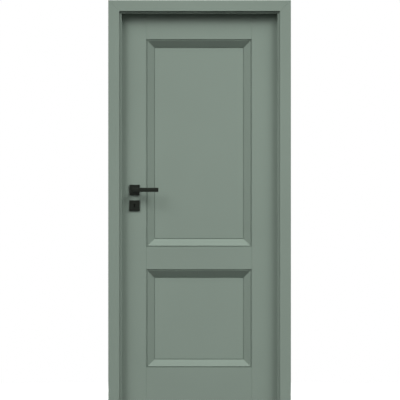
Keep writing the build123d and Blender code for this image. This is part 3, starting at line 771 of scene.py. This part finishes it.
def latchSpringPiece(node):
    # a thin rounded section stands across the line, its thickness along the line's normal
    low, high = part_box(node)
    x, z = springLine(low, high)
    run = np.stack([np.gradient(x), np.gradient(z)])
    normalX, normalZ = run[1] / np.hypot(*run), -run[0] / np.hypot(*run)
    halves = latchSpring["thickness"] / 2, (high[1] - low[1]) / 2
    across, wide = roundedRectangle(*halves, latchSpring["edge"], latchSpring["edgeSteps"])
    rows = [x[:, None] + normalX[:, None] * across]
    rows.append(np.broadcast_to((low[1] + high[1]) / 2 + wide, rows[0].shape))
    rows.append(z[:, None] + normalZ[:, None] * across)
    points = np.stack(rows, -1)
    faces = gridFaces(*points.shape[:2]) + endFaces(*points.shape[:2])
    strip = addPiece(node + "_strip", points, faces, "leaf", finishes["zinc_steel"], [node])
    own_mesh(strip)


latchSpringPiece("latch_spring")
print("latch spring made")


# Floor: white to the camera, with a painted shadow where the door stands over it, and only a weak bounce
# into the object

floorLook = {
    "half": 9.0,
    "albedo": 0.8,
    "glow": 0.56,
    "bounce": 0.06,
    "fadeFrom": 1.4,
    "fadeTo": 3.2,
    # painted shadow under the door: the glow fades out over this footprint
    "paintedShadowX": 0.44,
    "paintedShadowY": 0.05,
    "paintedShadowSoft": 0.26,
}


def viewRays(tree):  # one for camera, glossy and transmission rays
    path = addNode(tree, "LightPath").outputs
    shown = calc(tree, "MAXIMUM", path["Is Camera Ray"], path["Is Glossy Ray"])
    return calc(tree, "MAXIMUM", shown, path["Is Transmission Ray"])


def floorFinish():
    material = bpy.data.materials.new("whiteFloor")
    material.use_nodes = True
    tree = material.node_tree
    tree.nodes.clear()
    place = addNode(tree, "TexCoord").outputs["Object"]
    parts = addNode(tree, "SeparateXYZ", sockets={"Vector": place}).outputs
    far = addNode(tree, "VectorMath", {"operation": "LENGTH"}, {0: place}).outputs["Value"]
    rangeFade = {"Value": far, "From Min": floorLook["fadeFrom"], "From Max": floorLook["fadeTo"]}
    fade = addNode(tree, "MapRange", {"interpolation_type": "SMOOTHSTEP"}, rangeFade).outputs["Result"]
    # painted shadow: the floor's glow is turned down over the door's footprint, whatever the lamps do
    outX = calc(tree, "SUBTRACT", calc(tree, "ABSOLUTE", parts["X"], 0.0), floorLook["paintedShadowX"])
    outY = calc(tree, "SUBTRACT", calc(tree, "ABSOLUTE", parts["Y"], 0.0), floorLook["paintedShadowY"])
    outside = calc(tree, "MAXIMUM", outX, outY)
    paintedShadowRange = {"Value": outside, "From Max": floorLook["paintedShadowSoft"], "To Max": floorLook["glow"]}
    glow = addNode(tree, "MapRange", {"interpolation_type": "SMOOTHSTEP"}, paintedShadowRange).outputs["Result"]
    pale = (floorLook["albedo"],) * 3 + (1.0,)
    lit = addNode(tree, "BsdfDiffuse", sockets={"Color": pale}).outputs[0]
    shine = addNode(tree, "Emission", sockets={"Strength": glow}).outputs[0]
    nearFloor = addNode(tree, "AddShader", sockets={0: lit, 1: shine}).outputs[0]
    white = addNode(tree, "Emission", sockets={"Strength": 1.0}).outputs[0]
    seen = addNode(tree, "MixShader", sockets={0: fade, 1: nearFloor, 2: white}).outputs[0]
    weak = (floorLook["bounce"],) * 3 + (1.0,)
    bounce = addNode(tree, "BsdfDiffuse", sockets={"Color": weak}).outputs[0]
    mixed = addNode(tree, "MixShader", sockets={0: viewRays(tree), 1: bounce, 2: seen}).outputs[0]
    addNode(tree, "OutputMaterial", sockets={"Surface": mixed})
    return material


reach = floorLook["half"]
floorMesh = bpy.data.meshes.new("floor")
corners = [(-reach, -reach, 0), (reach, -reach, 0), (reach, reach, 0), (-reach, reach, 0)]
floorMesh.from_pydata(corners, [], [(0, 1, 2, 3)])
floor = bpy.data.objects.new("floor", floorMesh)
scene.collection.objects.link(floor)
floorMesh.materials.append(floorFinish())


# World: white behind the object, a weak even light on it

worldLook = {"fill": 0.045}


def studioWorld():
    world = bpy.data.worlds.new("studio")
    scene.world = world
    world.use_nodes = True
    tree = world.node_tree
    tree.nodes.clear()
    fill = addNode(tree, "Background", sockets={"Strength": worldLook["fill"]}).outputs[0]
    white = addNode(tree, "Background", sockets={"Color": (1, 1, 1, 1), "Strength": 1.0}).outputs[0]
    mixed = addNode(tree, "MixShader", sockets={0: viewRays(tree), 1: fill, 2: white}).outputs[0]
    addNode(tree, "OutputWorld", sockets={"Surface": mixed})


studioWorld()


# Lamps, by azimuth and elevation in degrees: two broad soft keys in front, two weak low ones and two behind
# Two wide spots fade out towards the floor

lamps = {
    "keyLeft": {"azimuth": -37.0, "elevation": 34.0, "strength": 1.62, "softness": 36.0},
    "keyRight": {"azimuth": 37.0, "elevation": 43.0, "strength": 1.86, "softness": 36.0},
    "lowLeft": {"azimuth": -30.0, "elevation": 14.0, "strength": 0.11, "softness": 20.0},
    "lowRight": {"azimuth": 30.0, "elevation": 14.0, "strength": 0.10, "softness": 20.0},
    "backLeft": {"azimuth": -130.0, "elevation": 33.0, "strength": 1.7, "softness": 36.0},
    "backRight": {"azimuth": 130.0, "elevation": 33.0, "strength": 2.1, "softness": 36.0},
}
spots = {
    "azimuths": {"spotLeft": -36.0, "spotRight": 36.0},
    "elevation": 41.0,
    "away": 6.4,
    "aim": (0.13, 0.0, 1.62),
    "watts": 270.0,
    "radius": 0.9,
    "cone": 23.0,
    "blend": 1.0,
}


def towards(azimuth, elevation):  # the turn of a lamp that shines down from there
    return math.radians(90.0 - elevation), 0, math.radians(azimuth)


def addLamp(name, kind, power, turn):
    data = bpy.data.lights.new(name, kind)
    data.energy = power
    light = bpy.data.objects.new(name, data)
    scene.collection.objects.link(light)
    light.rotation_euler = turn
    return light


def softLamp(name, lamp):
    light = addLamp(name, "SUN", lamp["strength"], towards(lamp["azimuth"], lamp["elevation"]))
    light.data.angle = math.radians(lamp["softness"])


def spotLamp(name, azimuth):
    light = addLamp(name, "SPOT", spots["watts"], towards(azimuth, spots["elevation"]))
    light.data.shadow_soft_size = spots["radius"]
    light.data.spot_size = math.radians(spots["cone"])
    light.data.spot_blend = spots["blend"]
    back = light.rotation_euler.to_matrix() @ Vector((0, 0, spots["away"]))
    light.location = Vector(spots["aim"]) + back


for name, lamp in lamps.items():
    softLamp(name, lamp)
for name, azimuth in spots["azimuths"].items():
    spotLamp(name, azimuth)


# Camera: a very long lens far in front, so the door shows almost without perspective

camera = {"lens": 500.0, "sensor": 36.0, "metresAcross": 2.0910, "x": 0.0021, "foot": 0.0094}


def doorCamera():
    data = bpy.data.cameras.new("doorCamera")
    data.lens = camera["lens"]
    data.sensor_width = camera["sensor"]
    viewer = bpy.data.objects.new("doorCamera", data)
    scene.collection.objects.link(viewer)
    away = camera["metresAcross"] * camera["lens"] / camera["sensor"]
    viewer.location = (camera["x"], casingFront - away, camera["foot"] + camera["metresAcross"] / 2)
    viewer.rotation_euler = (math.radians(90.0), 0, 0)
    scene.camera = viewer


doorCamera()
print("floor, light and camera set")
